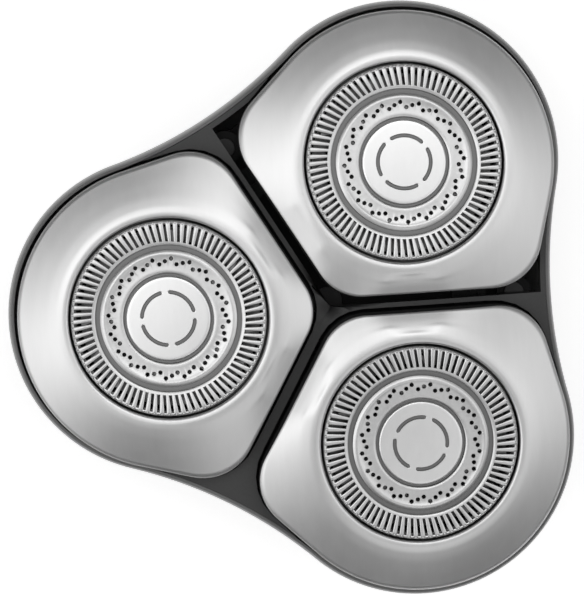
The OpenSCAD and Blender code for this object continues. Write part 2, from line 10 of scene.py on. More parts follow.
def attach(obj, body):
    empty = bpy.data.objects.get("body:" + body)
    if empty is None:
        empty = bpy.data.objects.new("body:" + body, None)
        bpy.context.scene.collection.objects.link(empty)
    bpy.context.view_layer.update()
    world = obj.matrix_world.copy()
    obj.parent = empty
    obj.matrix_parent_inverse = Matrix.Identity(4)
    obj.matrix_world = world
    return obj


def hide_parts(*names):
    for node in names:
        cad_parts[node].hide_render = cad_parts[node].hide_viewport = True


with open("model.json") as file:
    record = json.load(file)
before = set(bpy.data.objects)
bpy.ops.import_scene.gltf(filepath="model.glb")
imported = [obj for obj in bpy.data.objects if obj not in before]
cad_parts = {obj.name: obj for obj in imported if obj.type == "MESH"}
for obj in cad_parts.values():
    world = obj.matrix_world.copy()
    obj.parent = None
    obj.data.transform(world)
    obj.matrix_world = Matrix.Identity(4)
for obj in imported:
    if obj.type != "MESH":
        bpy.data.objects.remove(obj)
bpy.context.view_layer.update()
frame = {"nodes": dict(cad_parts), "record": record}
print("frame loaded:", len(frame["nodes"]), "nodes")

mm = 0.001
lobeAngles = [60, 180, 300]

# sizes shared by the pieces, in millimetres, as in the part's source
layout = {
    "lobeR": 16.5, "lean": 5.5, "pivotZ": 15.2, "faceH": 5.4, "plateGap": 1.45,
    "collarH": 5.2, "floorT": 1.6, "gearZ": 8.0, "plateZ": 11.2,
}


class Wire:                          # a shader socket that can stand in sums
    def __init__(self, board, socket):
        self.board, self.socket = board, socket

    def __add__(self, other): return self.board.maths("ADD", self, other)
    def __radd__(self, other): return self.board.maths("ADD", other, self)
    def __sub__(self, other): return self.board.maths("SUBTRACT", self, other)
    def __rsub__(self, other): return self.board.maths("SUBTRACT", other, self)
    def __mul__(self, other): return self.board.maths("MULTIPLY", self, other)
    def __rmul__(self, other): return self.board.maths("MULTIPLY", other, self)
    def __truediv__(self, other): return self.board.maths("DIVIDE", self, other)
    def __rtruediv__(self, other): return self.board.maths("DIVIDE", other, self)
    def __pow__(self, other): return self.board.maths("POWER", self, other)


class Board:                         # the node tree of a material or of the world
    def __init__(self, tree):
        self.tree = tree
        tree.nodes.clear()

    def add(self, kind, settings=None, sockets=None, out=0):
        node = self.tree.nodes.new(kind)
        for key, value in (settings or {}).items():
            if key == "stops":
                ramp = node.color_ramp.elements
                while len(ramp) > 1:
                    ramp.remove(ramp[-1])
                ramp[0].position, ramp[0].color = value[0][0], grey(value[0][1])
                for place, tone in value[1:]:
                    ramp.new(place).color = grey(tone)
            else:
                setattr(node, key, value)
        for key, value in (sockets or {}).items():
            socket = node.inputs[key]
            if isinstance(value, Wire):
                self.tree.links.new(value.socket, socket)
            elif socket.type == "RGBA":
                socket.default_value = grey(value)
            else:
                socket.default_value = value
        return Wire(self, node.outputs[out]) if node.outputs else None

    def maths(self, operation, a, b=0.0, clamp=False):
        return self.add("ShaderNodeMath", {"operation": operation, "use_clamp": clamp}, {0: a, 1: b})

    def smooth(self, value, low, high):   # 0 below low, 1 above high
        return self.add("ShaderNodeMapRange", {"interpolation_type": "SMOOTHSTEP"},
                        {"Value": value, "From Min": low, "From Max": high})

    def colours(self, a, b, share):
        return self.add("ShaderNodeMix", {"data_type": "RGBA"}, {"Factor": share, "A": a, "B": b}, out=2)


def grey(tone):                      # a tone or a colour as four numbers
    if isinstance(tone, (int, float)):
        tone = (tone, tone, tone)
    return (*tone, 1.0) if len(tone) == 3 else tuple(tone)


def newMaterial(name):
    material = bpy.data.materials.new(name)
    material.use_nodes = True
    return material, Board(material.node_tree)


def finishMaterial(board, sockets):
    shader = board.add("ShaderNodeBsdfPrincipled", {}, sockets)
    board.add("ShaderNodeOutputMaterial", {}, {"Surface": shader})


def satinSteel(name, look):
    material, board = newMaterial(name)
    place = board.add("ShaderNodeTexCoord", {}, out=3)
    lines = board.add("ShaderNodeMapping", {"vector_type": "POINT"},
                      {"Vector": place, "Scale": look["stretch"], "Rotation": (0, 0, look["turn"])})
    brush = board.add("ShaderNodeTexNoise", {}, {"Vector": lines, "Scale": look["grain"], "Detail": 4.0,
                                                 "Roughness": 0.65})
    cloud = board.add("ShaderNodeTexNoise", {}, {"Vector": place, "Scale": 240.0, "Detail": 2.0})
    clean = board.colours(look["dark"], look["light"], board.smooth(brush * 0.7 + cloud * 0.3, 0.3, 0.7))
    sunk = board.add("ShaderNodeAttribute", {"attribute_name": "sunk"}, out=2)   # painted shade: darkens the tone on grooves, hollows, hidden walls and cut edges
    tone = board.colours(clean, look["groove"], sunk)
    rough = look["rough"] + (brush - 0.5) * look["roughSpread"] + (cloud - 0.5) * 0.03 + sunk * 0.12
    bump = board.add("ShaderNodeBump", {}, {"Height": brush, "Strength": look["bump"], "Distance": 0.00002})
    finishMaterial(board, {"Base Color": tone, "Metallic": 1.0, "Roughness": rough, "Normal": bump})
    return material


def mouldedPlastic(name, look):
    material, board = newMaterial(name)
    place = board.add("ShaderNodeTexCoord", {}, out=3)
    fine = board.add("ShaderNodeTexNoise", {}, {"Vector": place, "Scale": look["grain"], "Detail": 3.0,
                                                "Roughness": 0.6})
    cloud = board.add("ShaderNodeTexNoise", {}, {"Vector": place, "Scale": 120.0, "Detail": 2.0})
    tone = board.colours(look["dark"], look["light"], board.smooth(fine * 0.5 + cloud * 0.5, 0.35, 0.65))
    if "journalShadeZ" in look:            # painted shade: the coupling's journal end, lying in shade under the bearing plate, is painted near black
        board.add("ShaderNodeSeparateXYZ", {}, {"Vector": place})
        x, y, z = (Wire(board, board.tree.nodes[-1].outputs[k]) for k in "XYZ")
        level = board.maths("SQRT", x * x + y * y)
        journalShade = (1.0 - board.smooth(level, 0.0034, 0.0036)) * board.smooth(z, look["journalShadeZ"], look["journalShadeZ"] + 0.0002)
        tone = board.colours(tone, 0.006, journalShade)
    rough = look["rough"] + (fine - 0.5) * 0.12 + (cloud - 0.5) * 0.06
    bump = board.add("ShaderNodeBump", {}, {"Height": fine, "Strength": look["bump"], "Distance": 0.00003})
    finishMaterial(board, {"Base Color": tone, "Roughness": rough, "Normal": bump,
                           "Specular IOR Level": look["shine"]})
    return material


# In each steel look below, the dark tone for marked grooves and hollows is painted shade.
plateFinish = {"dark": 0.7, "light": 0.735, "groove": 0.14, "rough": 0.36, "roughSpread": 0.03, "bump": 0.03,
               "grain": 900.0, "stretch": (1, 0.12, 1), "turn": 0.0}
capFinish = {"dark": 0.66, "light": 0.73, "groove": 0.22, "rough": 0.36, "roughSpread": 0.06, "bump": 0.08,
             "grain": 1600.0, "stretch": (1, 1, 1), "turn": 0.0}
discFinish = {"dark": 0.87, "light": 0.9, "groove": 0.2, "rough": 0.34, "roughSpread": 0.03, "bump": 0.02,
              "grain": 1400.0, "stretch": (1, 0.3, 1), "turn": 0.0}
# painted shade: the cutters' steel gets a dark tone that stands in for the shade under the cap's slots
cutterShadeFinish = {"dark": 0.13, "light": 0.26, "groove": 0.1, "rough": 0.36, "roughSpread": 0.2, "bump": 0.3,
                "grain": 1500.0, "stretch": (1, 0.2, 1), "turn": 0.0}
pinFinish = {"dark": 0.5, "light": 0.66, "groove": 0.1, "rough": 0.26, "roughSpread": 0.1, "bump": 0.1,
             "grain": 1500.0, "stretch": (1, 1, 0.1), "turn": 0.0}
housingFinish = {"dark": 0.165, "light": 0.18, "rough": 0.3, "grain": 2600.0, "bump": 0.12, "shine": 0.5}
frameFinish = {"dark": 0.052, "light": 0.06, "rough": 0.55, "grain": 3200.0, "bump": 0.3, "shine": 0.4}
blackFinish = {"dark": 0.006, "light": 0.01, "rough": 0.55, "grain": 2800.0, "bump": 0.2, "shine": 0.2}
# painted shade on the coupling's journal end above this height
whiteFinish = {"dark": 0.62, "light": 0.7, "rough": 0.4, "grain": 2000.0, "bump": 0.1, "shine": 0.5,
               "journalShadeZ": 0.0117}

finishes = {
    "plate_steel": satinSteel("plateSteel", plateFinish),
    "cap_steel": satinSteel("capSteel", capFinish),
    "disc_steel": satinSteel("discSteel", discFinish),
    "cutter_steel": satinSteel("cutterSteelPaintedShade", cutterShadeFinish),
    "pin_steel": satinSteel("pinSteel", pinFinish),
    "screw_black": mouldedPlastic("screwBlack", dict(blackFinish, dark=0.012, light=0.018, rough=0.42)),
    "spring_steel": satinSteel("springSteel", dict(pinFinish, dark=0.4, light=0.52)),
    "housing_plastic": mouldedPlastic("housingPlastic", housingFinish),
    "frame_plastic": mouldedPlastic("framePlastic", frameFinish),
    "black_plastic": mouldedPlastic("blackPlastic", blackFinish),
    "white_plastic": mouldedPlastic("whitePlastic", whiteFinish),
}
print("finishes made:", len(finishes))


def facePlace(lobe):                 # from a head's face plane, in millimetres, to the part's frame
    return (Matrix.Rotation(radians(lobeAngles[lobe]), 4, "Z")
            @ Matrix.Translation((layout["lobeR"], 0, layout["pivotZ"]))
            @ Matrix.Rotation(radians(layout["lean"]), 4, "Y")
            @ Matrix.Translation((0, 0, layout["faceH"])))


def gridFaces(rows, columns, loopRows=False, loopColumns=True, start=0):
    faces = []
    for i in range(rows if loopRows else rows - 1):
        for k in range(columns if loopColumns else columns - 1):
            j, l = (i + 1) % rows, (k + 1) % columns
            faces.append((start + i * columns + k, start + j * columns + k, start + j * columns + l,
                          start + i * columns + l))
    return faces


class Shape:                         # points and faces, collected in millimetres
    def __init__(self):
        self.points, self.faces, self.count = [], [], 0

    def addGrid(self, rows, loopRows=False, loopColumns=True):
        block = np.asarray(rows, float)
        n, m = block.shape[:2]
        self.faces += gridFaces(n, m, loopRows, loopColumns, self.count)
        self.points.append(block.reshape(-1, 3))
        self.count += n * m
        return self.count - n * m

    def addFan(self, first, columns, centre, up=True):   # closes a ring of points onto one point
        self.points.append(np.array([centre], float))
        tip = self.count
        self.count += 1
        for k in range(columns):
            pair = (first + k, first + (k + 1) % columns)
            self.faces.append((*pair, tip) if up else (*pair[::-1], tip))

    def addMesh(self, points, faces):
        self.faces += [tuple(self.count + v for v in face) for face in faces]
        self.points.append(np.asarray(points, float))
        self.count += len(points)

    def build(self, name, place=None, sharp=35.0, sunk=None):
        points = np.concatenate(self.points)
        # painted shade for each point, kept as an attribute that darkens the steel's colour
        shadeValues = None if sunk is None else sunk(points)
        if place is not None:
            turn = np.array(place.to_3x3())
            points = points @ turn.T + np.array(place.translation)
        mesh = bpy.data.meshes.new(name)
        mesh.from_pydata((points * mm).tolist(), [], self.faces)
        if shadeValues is not None:
            mesh.attributes.new("sunk", "FLOAT", "POINT").data.foreach_set("value", shadeValues)
        tidyMesh(mesh, sharp)
        piece = bpy.data.objects.new(name, mesh)
        bpy.context.scene.collection.objects.link(piece)
        return piece


def tidyMesh(mesh, sharp):
    work = bmesh.new()
    work.from_mesh(mesh)
    bmesh.ops.remove_doubles(work, verts=work.verts, dist=1e-7)
    bmesh.ops.recalc_face_normals(work, faces=work.faces)
    work.to_mesh(mesh)
    work.free()
    mesh.shade_smooth()
    mesh.set_sharp_from_angle(angle=radians(sharp))


def dress(piece, body, slotName, *nodes):
    piece.data.materials.clear()
    piece.data.materials.append(finishes[slotName])
    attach(piece, body)
    if nodes:
        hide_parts(*nodes)
    return piece


def ring(radius, z, count):
    a = np.arange(count) * 2 * pi / count
    return np.stack([radius * np.cos(a), radius * np.sin(a), np.full(count, float(z))], 1)


def turned(profile, count):          # rows of a turned form, one ring for each profile point
    return [ring(r, z, count) for r, z in profile]


def rounded(profile, radius, steps=3, closed=True):   # a profile with its corners rounded
    made = []
    total = len(profile)
    for k, here in enumerate(profile):
        before, after = profile[k - 1], profile[(k + 1) % total]
        here, before, after = np.array(here[:2]), np.array(before[:2]), np.array(after[:2])
        if not closed and k in (0, total - 1):
            made.append(tuple(here))
            continue
        reach = min(radius, np.linalg.norm(before - here) * 0.45, np.linalg.norm(after - here) * 0.45)
        p = here + (before - here) / np.linalg.norm(before - here) * reach
        q = here + (after - here) / np.linalg.norm(after - here) * reach
        for s in range(steps + 1):
            t = s / steps
            made.append(tuple((1 - t) ** 2 * p + 2 * t * (1 - t) * here + t ** 2 * q))
    return made


# Rings between the given ones, on a smooth curve through them. At a corner the curve breaks.
def loft(rings, corners, steps):
    rings = [np.asarray(r, float) for r in rings]
    total = len(rings)
    gap = [max(1e-6, float(np.linalg.norm(rings[(k + 1) % total] - rings[k], axis=1).mean()))
           for k in range(total)]
    rows = []
    for k in range(total):
        a, b = rings[k], rings[(k + 1) % total]
        before, after = rings[k - 1], rings[(k + 2) % total]
        straight = (b - a) / gap[k]
        leave = straight if k in corners else slope(before, a, b, gap[k - 1], gap[k])
        arrive = straight if (k + 1) % total in corners else slope(a, b, after, gap[k], gap[(k + 1) % total])
        count = steps[k] if isinstance(steps, (list, tuple)) else steps
        for s in range(count):
            t = s / count
            h1, h2 = 2 * t ** 3 - 3 * t ** 2 + 1, t ** 3 - 2 * t ** 2 + t
            h3, h4 = -2 * t ** 3 + 3 * t ** 2, t ** 3 - t ** 2
            rows.append(h1 * a + h2 * gap[k] * leave + h3 * b + h4 * gap[k] * arrive)
    return rows


def slope(before, here, after, gapBefore, gapAfter):
    one, two = (here - before) / gapBefore, (after - here) / gapAfter
    return (one * gapAfter + two * gapBefore) / (gapBefore + gapAfter)


plate = {
    "outerR": 16.04, "sideCornerR": 5.6, "innerCornerR": 5.2, "sideA": 103.5, "openingR": 10.5,
    "crestH": 0.195, "edgeDrop": 2.45, "skirtInset": 0.3, "skirtT": 0.8, "skirtDepth": 4.8,
    "footR": 12.25, "underside": -1.9, "seatR": 12.15, "rays": 240,
}


plateSteps = [3, 2, 3, 3, 5, 5, 6, 6, 2, 2, 2, 2, 2, 3, 2, 3, 3, 2]


def rayToCircle(d, r, a):
    return d * cos(a) + sqrt(r * r - (d * sin(a)) ** 2)


def plateEdge(angle, inset):         # distance from the cap's centre to the plate's outline
    rise = (layout["faceH"] - plate["edgeDrop"]) * sin(radians(layout["lean"]))
    footD = (layout["lobeR"] + rise) * sin(radians(60)) - layout["plateGap"] / 2
    sideA, flat = radians(plate["sideA"]), radians(150)
    sideD = (footD - plate["sideCornerR"]) / cos(flat - sideA)
    innerD = (footD - plate["innerCornerR"]) / cos(radians(30))
    bulge = sideA - np.arccos((plate["outerR"] - plate["sideCornerR"]) / sideD)

    def endOf(d, a, r, n):
        return atan2(d * sin(a) + r * sin(n), d * cos(a) + r * cos(n))

    t = 2 * pi - angle if angle > pi else angle
    if t < bulge:
        return plate["outerR"] - inset
    if t < endOf(sideD, sideA, plate["sideCornerR"], bulge):
        return (plate["outerR"] - inset) / cos(t - bulge)
    if t < endOf(sideD, sideA, plate["sideCornerR"], flat):
        return rayToCircle(sideD, plate["sideCornerR"] - inset, t - sideA)
    if t < endOf(innerD, pi, plate["innerCornerR"], flat):
        return (footD - inset) / cos(t - flat)
    return rayToCircle(innerD, plate["innerCornerR"] - inset, pi - t)


def plateRing(inset, z, within=None):
    angles = np.arange(plate["rays"]) * 2 * pi / plate["rays"]
    r = np.array([plateEdge(a, inset) for a in angles])
    if within is not None:
        r = np.minimum(r, within)
    return np.stack([r * np.cos(angles), r * np.sin(angles), np.full(len(angles), float(z))], 1)


def makePlateShape():
    p = plate
    count = p["rays"]
    foot = plateRing(1.85, -0.05, p["footR"])
    slopeEnd = plateRing(0.11, 0)
    reach = np.hypot(slopeEnd[:, 0], slopeEnd[:, 1]) - p["footR"]
    slopeEnd[:, 2] = -0.06 - 0.33 * reach - 0.6 * np.exp(-(reach - 1.0) / 0.8)
    upright = np.array([0, 0, 1.0])
    middle = foot * 0.6 + slopeEnd * 0.4
    middle[:, 2] += 0.03
    rings = [
        ring(p["openingR"], p["underside"], count),
        ring(p["openingR"], -0.15, count),
        ring(p["openingR"] + 0.02, 0.02, count),
        ring(p["openingR"] + 0.12, p["crestH"] - 0.07, count),
        ring(p["openingR"] + 0.5, p["crestH"], count),
        ring(p["openingR"] + 0.92, p["crestH"] - 0.04, count),
        foot,
        middle,
        slopeEnd,
        plateRing(0.07, 0) + slopeEnd * upright - upright * 0.07,
        plateRing(0.05, 0) + slopeEnd * upright - upright * 0.2,
        plateRing(0.04, -p["edgeDrop"] + 0.1),
        plateRing(0.16, -p["edgeDrop"] - 0.14),
        plateRing(p["skirtInset"], -p["edgeDrop"] - 0.35),
        plateRing(p["skirtInset"], -p["skirtDepth"]),
        plateRing(p["skirtInset"] + p["skirtT"], -p["skirtDepth"]),
        plateRing(p["skirtInset"] + p["skirtT"], -p["edgeDrop"]),
        ring(p["seatR"], p["underside"], count),
    ]
    corners = {0, 8, 10, 11, 12, 13, 14, 15, 16, 17}
    shape = Shape()
    shape.addGrid(loft(rings, corners, plateSteps), loopRows=True)
    return shape


def platePaintedShade(points):               # painted shade: the opening's wall, the cut edge and the back are painted dark, as a shadow gap around the plate
    row = np.arange(len(points)) // plate["rays"]
    return ((row < sum(plateSteps[:1])) | (row > sum(plateSteps[:8]))) * 1.0


plateShape = makePlateShape()
for lobe in range(3):
    piece = plateShape.build(f"skinPlate{lobe + 1}", facePlace(lobe), sharp=50, sunk=platePaintedShade)
    dress(piece, f"plate_{lobe + 1}", "plate_steel", f"skin_plate_{lobe + 1}")
print("skin plates made")


cap = {
    "capR": 10.2, "wallT": 0.45, "track": 0.2, "underside": -0.45, "flangeR": 11.1, "flangeTop": -2.4,
    "flangeT": 0.6, "discEdgeR": 4.72, "bossR": 1.85, "slotInR": 8.05, "slotW": 0.3, "skew": 7.0, "slots": 82,
    "crown": 0.05, "beadR": 0.19, "beadAt": 10.04, "groups": 20, "holeR": 0.215, "holeRingR": 6.0,
    "grooveR": 7.42, "grooveW": 0.52, "segments": 240,
}


def capRibs(shape):                  # one rounded bar for each rib between two slots
    pitch = 2 * pi / cap["slots"]
    skew = radians(cap["skew"])
    track = cap["track"]
    stations = [(7.98, track - 0.02), (8.12, track), (8.5, track + 0.025), (9.1, track + 0.05),
                (9.6, track + 0.05), (9.9, track + 0.03), (10.08, track), (10.2, track - 0.08),
                (10.27, track - 0.25), (10.27, -0.56)]
    across = np.linspace(-1, 1, 9)
    for k in range(cap["slots"]):
        rows = []
        for r, top in stations:
            along = (sqrt(r * r - (cap["slotInR"] * sin(skew)) ** 2) - cap["slotInR"] * cos(skew))
            lead = atan2(along * sin(skew), cap["slotInR"] + along * cos(skew))
            half = pitch / 2 - cap["slotW"] / 2 / r
            centre = (k + 0.5) * pitch + lead
            rounding = cap["crown"] * min(1.0, max(0.0, (10.3 - r) / 0.3))
            points = []
            for t in across:
                a = centre + half * t
                points.append((r * cos(a), r * sin(a), top - rounding * (1 - sqrt(max(0.0, 1 - t * t * 0.98)))))
            for t in (1, -1):
                a, inner = centre + half * t, min(r, 9.72)
                low = -0.56 if r > 9.7 else cap["underside"]
                points.append((inner * cos(a), inner * sin(a), low))
            rows.append(points)
        start = shape.addGrid(rows)
        n = len(across) + 2
        shape.faces.append(tuple(start + i for i in range(n)))
        last = start + (len(stations) - 1) * n
        shape.faces.append(tuple(last + i for i in reversed(range(n))))


def capBeads(shape):                 # the rounded end of each rib catches the light as a bead
    ball = bmesh.new()
    bmesh.ops.create_uvsphere(ball, u_segments=10, v_segments=6, radius=cap["beadR"])
    points = np.array([v.co for v in ball.verts])
    faces = [tuple(v.index for v in f.verts) for f in ball.faces]
    ball.free()
    pitch = 2 * pi / cap["slots"]
    skew = radians(cap["skew"])
    along = cap["beadAt"] - cap["slotInR"]
    lead = atan2(along * sin(skew), cap["slotInR"] + along * cos(skew))
    for k in range(cap["slots"]):
        a = (k + 0.5) * pitch + lead
        spot = np.array([cap["beadAt"] * cos(a), cap["beadAt"] * sin(a), cap["track"] - 0.1])
        shape.addMesh(points + spot, faces)


def capFace():                       # the turned middle of the cap, with its hair holes drilled
    track, under = cap["track"], cap["underside"]
    low, high = cap["grooveR"] - cap["grooveW"] / 2, cap["grooveR"] + cap["grooveW"] / 2
    inner, edge = cap["bossR"] + 0.1, cap["discEdgeR"]
    profile = [
        (inner, under), (inner, -0.15), (edge - 0.03, -0.15), (edge, -0.1), (edge + 0.02, track - 0.06),
        (edge + 0.1, track - 0.01), (edge + 0.3, track + 0.02), (edge + 0.5, track), (6.5, track),
        (6.6, track + 0.05), (6.8, track + 0.06), (6.95, track + 0.03), (low, track - 0.08),
        (low + 0.02, track - 0.35), (high - 0.02, track - 0.35), (high, track - 0.08),
        (high + 0.08, track - 0.02), (cap["slotInR"], track - 0.01), (cap["slotInR"], under),
    ]
    shape = Shape()
    shape.addGrid(turned(profile, cap["segments"]), loopRows=True)
    face = shape.build("capFace")
    drill = Shape()
    for g in range(cap["groups"]):
        for k in (-1, 0, 1):
            a = (g + k / 3) * 2 * pi / cap["groups"]
            r = cap["holeRingR"] - k * 0.27
            rows = [ring(cap["holeR"] + 0.03, track + 0.3, 14), ring(cap["holeR"] + 0.03, track + 0.01, 14),
                    ring(cap["holeR"], track - 0.03, 14), ring(cap["holeR"], under - 0.2, 14)]
            rows = [row + np.array([r * cos(a), r * sin(a), 0]) for row in rows]
            start = drill.addGrid(rows)
            drill.faces.append(tuple(start + i for i in range(14)))
            drill.faces.append(tuple(start + 42 + i for i in reversed(range(14))))
    drills = drill.build("capDrills")
    cut = face.modifiers.new("drill", "BOOLEAN")
    cut.operation, cut.solver, cut.object = "DIFFERENCE", "EXACT", drills
    ready = face.evaluated_get(bpy.context.evaluated_depsgraph_get()).to_mesh()
    points = np.array([v.co for v in ready.vertices]) / mm
    faces = [tuple(p.vertices) for p in ready.polygons]
    for spare in (face, drills):
        bpy.data.objects.remove(spare)
    return points, faces


def capPaintedShade(points):                 # painted shade: the groove, the hole walls, the slot walls and the inside are painted dark
    r, z = np.hypot(points[:, 0], points[:, 1]), points[:, 2]
    low, high = cap["grooveR"] - cap["grooveW"] / 2, cap["grooveR"] + cap["grooveW"] / 2
    groove = (r > low - 0.001) & (r < high + 0.001) & (z < cap["track"] - 0.2)
    holes = (r > 5.3) & (r < 6.5) & (z < cap["track"] - 0.1)
    gap = (r < cap["discEdgeR"] + 0.01) & (z < 0.1)
    return (groove | holes | gap | ((z < -0.2) & (r < 9.8)) | (z < -0.5)) * 1.0


def makeCapShape():
    shape = Shape()
    shape.addMesh(*capFace())
    capRibs(shape)
    capBeads(shape)
    track = cap["track"]
    band = [(9.94, -0.5), (9.94, track - 0.1), (10.06, track - 0.07), (10.19, track - 0.14), (10.26, track - 0.3),
            (10.26, -0.56)]
    shape.addGrid(turned(band, cap["segments"]), loopRows=True)
    top, inside = -0.54, cap["capR"] - cap["wallT"]
    bottom = cap["flangeTop"] - cap["flangeT"]
    wall = [(inside, top), (cap["capR"], top), (cap["capR"], cap["flangeTop"] + 0.05),
            (cap["capR"] + 0.05, cap["flangeTop"]), (cap["flangeR"] - 0.06, cap["flangeTop"]),
            (cap["flangeR"], cap["flangeTop"] - 0.06), (cap["flangeR"], bottom), (inside, bottom)]
    shape.addGrid(turned(wall, cap["segments"]), loopRows=True)
    return shape


capShape = makeCapShape()
for lobe in range(3):
    piece = capShape.build(f"shavingCap{lobe + 1}", facePlace(lobe), sharp=40, sunk=capPaintedShade)
    dress(piece, f"cap_{lobe + 1}", "cap_steel", f"shaving_cap_{lobe + 1}")
print("shaving caps made")


disc = {
    "r": 4.43, "top": 0.3, "edgeTop": 0.24, "under": -0.15, "bossR": 1.85, "bossDrop": 1.3,
    "arcR": 2.77, "arcW": 0.4, "arcDepth": 0.14, "bridge": 22.0, "turns": [65, 4, 39], "segments": 288,
}


def makeDiscShape(turn):
    shape = Shape()
    count = disc["segments"]
    half = disc["arcW"] / 2
    radii = list(np.linspace(0.35, disc["arcR"] - half - 0.1, 7))
    radii += list(np.linspace(disc["arcR"] - half - 0.05, disc["arcR"] + half + 0.05, 13))
    radii += list(np.linspace(disc["arcR"] + half + 0.1, disc["r"] - 0.22, 7))
    rows = []
    for r in radii:
        row = ring(r, 0, count)
        for k in range(count):
            a = (k * 360 / count - turn) % 90
            bare = max(0.0, disc["bridge"] / 2 - a, a - (90 - disc["bridge"] / 2))
            away = hypot(r - disc["arcR"], radians(bare) * disc["arcR"])
            sink = min(1.0, max(0.0, (half - away) / 0.07))
            row[k, 2] = disc["top"] - 0.06 * (r / disc["r"]) ** 2 - disc["arcDepth"] * sink * sink * (3 - 2 * sink)
        rows.append(row)
    edge = [(disc["r"] - 0.14, disc["edgeTop"] - 0.005), (disc["r"] - 0.07, disc["edgeTop"] - 0.03),
            (disc["r"] - 0.02, disc["edgeTop"] - 0.08), (disc["r"], 0.1), (disc["r"], disc["under"]),
            (disc["bossR"], disc["under"]), (disc["bossR"], -disc["bossDrop"]), (0.95, -disc["bossDrop"]),
            (0.95, -0.35), (0.3, -0.35)]
    rows += turned(edge, count)
    start = shape.addGrid(rows)
    shape.addFan(start, count, (0, 0, disc["top"]), up=False)
    shape.addFan(start + (len(rows) - 1) * count, count, (0, 0, -0.35))
    return shape


# painted shade: the arc grooves, the outer edge and the underside are painted dark
def discPaintedShade(points):
    r, z = np.hypot(points[:, 0], points[:, 1]), points[:, 2]
    surface = disc["top"] - 0.06 * (r / disc["r"]) ** 2
    arcs = np.clip((surface - z) / disc["arcDepth"], 0, 1)
    return np.where(np.abs(r - disc["arcR"]) < disc["arcW"], arcs, (z < 0.05) * 1.0)


for lobe in range(3):
    shape = makeDiscShape(disc["turns"][lobe])
    piece = shape.build(f"capDisc{lobe + 1}", facePlace(lobe), sharp=50, sunk=discPaintedShade)
    dress(piece, f"cap_{lobe + 1}", "disc_steel", f"cap_disc_{lobe + 1}")
print("cap discs made")


housing = {
    "rimLobeR": 16.7, "waistR": 23.5, "collarBoreR": 9.5, "collarWall": 2.0, "rimT": 0.6, "wallT": 1.3,
    "deckTop": 18.65, "domeR": 178.0, "couplingR": 3.25, "rays": 288, "postR": 2.2, "postAt": 15.0,
}


def cloverEdge(angle, grow):         # distance from the unit's axis to its outline
    centre = layout["lobeR"] + layout["faceH"] * sin(radians(layout["lean"]))
    lobeR, waistR = housing["rimLobeR"], housing["waistR"]
    waistD = (centre ** 2 - (lobeR - waistR) ** 2) / (centre + 2 * (lobeR - waistR))
    waistArc = waistD - waistR
    endNormal = atan2(waistD * sin(radians(60)), waistD * cos(radians(60)) - centre)
    join = atan2((lobeR + grow) * sin(endNormal), centre + (lobeR + grow) * cos(endNormal))
    t = abs(degrees(angle) % 120 - 60)
    if radians(t) < join:
        return rayToCircle(centre, lobeR + grow, radians(t))
    off = radians(60 - t)
    return waistD * cos(off) - sqrt((waistArc - grow) ** 2 - (waistD * sin(off)) ** 2)


def cloverRing(grow, z=None, drop=0.0):
    angles = np.arange(housing["rays"]) * 2 * pi / housing["rays"]
    r = np.array([cloverEdge(a, grow) for a in angles])
    if z is None:
        height = housing["deckTop"] - housing["domeR"] + np.sqrt(housing["domeR"] ** 2 - r ** 2) - drop
    else:
        height = np.full(len(angles), float(z))
    return np.stack([r * np.cos(angles), r * np.sin(angles), height], 1)


def makeHousing():
    h = housing
    bottom = layout["collarH"]
    top = bottom + layout["floorT"]
    rings = [
        ring(h["couplingR"], top + 0.4, h["rays"]),
        ring(h["couplingR"], bottom, h["rays"]),
        ring(h["collarBoreR"] + h["collarWall"] + 0.6, bottom, h["rays"]),
        cloverRing(-6.4, bottom),
        cloverRing(-5, bottom + 0.4),
        cloverRing(-3, bottom + 2.2),
        cloverRing(-1.1, bottom + 5),
        cloverRing(-0.15, bottom + 7.4),
        cloverRing(0, None, 2),
        cloverRing(-0.05, None, 1.1),
        cloverRing(-0.22, None, 0.45),
        cloverRing(-0.4, None, 0.22),
        cloverRing(-h["rimT"], None, 0.25),
        cloverRing(-0.15 - h["rimT"], bottom + 7.4),
        cloverRing(-1.1 - h["wallT"], bottom + 5),
        cloverRing(-3 - h["wallT"], bottom + 2.6),
        cloverRing(-5.2, top),
        ring(h["couplingR"] + 1.35, top, h["rays"]),
        ring(h["couplingR"] + 1.35, top + 0.4, h["rays"]),
    ]
    corners = {0, 1, 2, 3, 12, 13, 16, 17, 18}
    steps = [1, 1, 2, 4, 6, 6, 6, 5, 4, 4, 3, 3, 2, 3, 3, 3, 1, 1, 1]
    shape = Shape()
    shape.addGrid(loft(rings, corners, steps), loopRows=True)
    outer, bore = h["collarBoreR"] + h["collarWall"], h["collarBoreR"]
    collar = rounded([(bore, 0), (bore, bottom + 0.02), (outer, bottom + 0.02), (outer, 0)], 0.25)
    shape.addGrid(turned(collar, 192), loopRows=True)
    for k in range(3):
        a = radians(lobeAngles[k])
        pin = [(1.0, top - 0.02), (1.0, layout["gearZ"] - 0.2), (2.0, layout["gearZ"] - 0.2), (2.0, top - 0.02)]
        shape.addGrid([row + np.array([layout["lobeR"] * cos(a), layout["lobeR"] * sin(a), 0])
                       for row in turned(pin, 48)], loopRows=True)
        a += radians(60)
        post = [(0.9, top - 0.02), (0.9, layout["plateZ"]), (h["postR"], layout["plateZ"]), (h["postR"], top - 0.02)]
        shape.addGrid([row + np.array([h["postAt"] * cos(a), h["postAt"] * sin(a), 0])
                       for row in turned(post, 48)], loopRows=True)
    return shape.build("backHousing", sharp=38)


dress(makeHousing(), "base", "housing_plastic", "back_housing")
print("housing made")


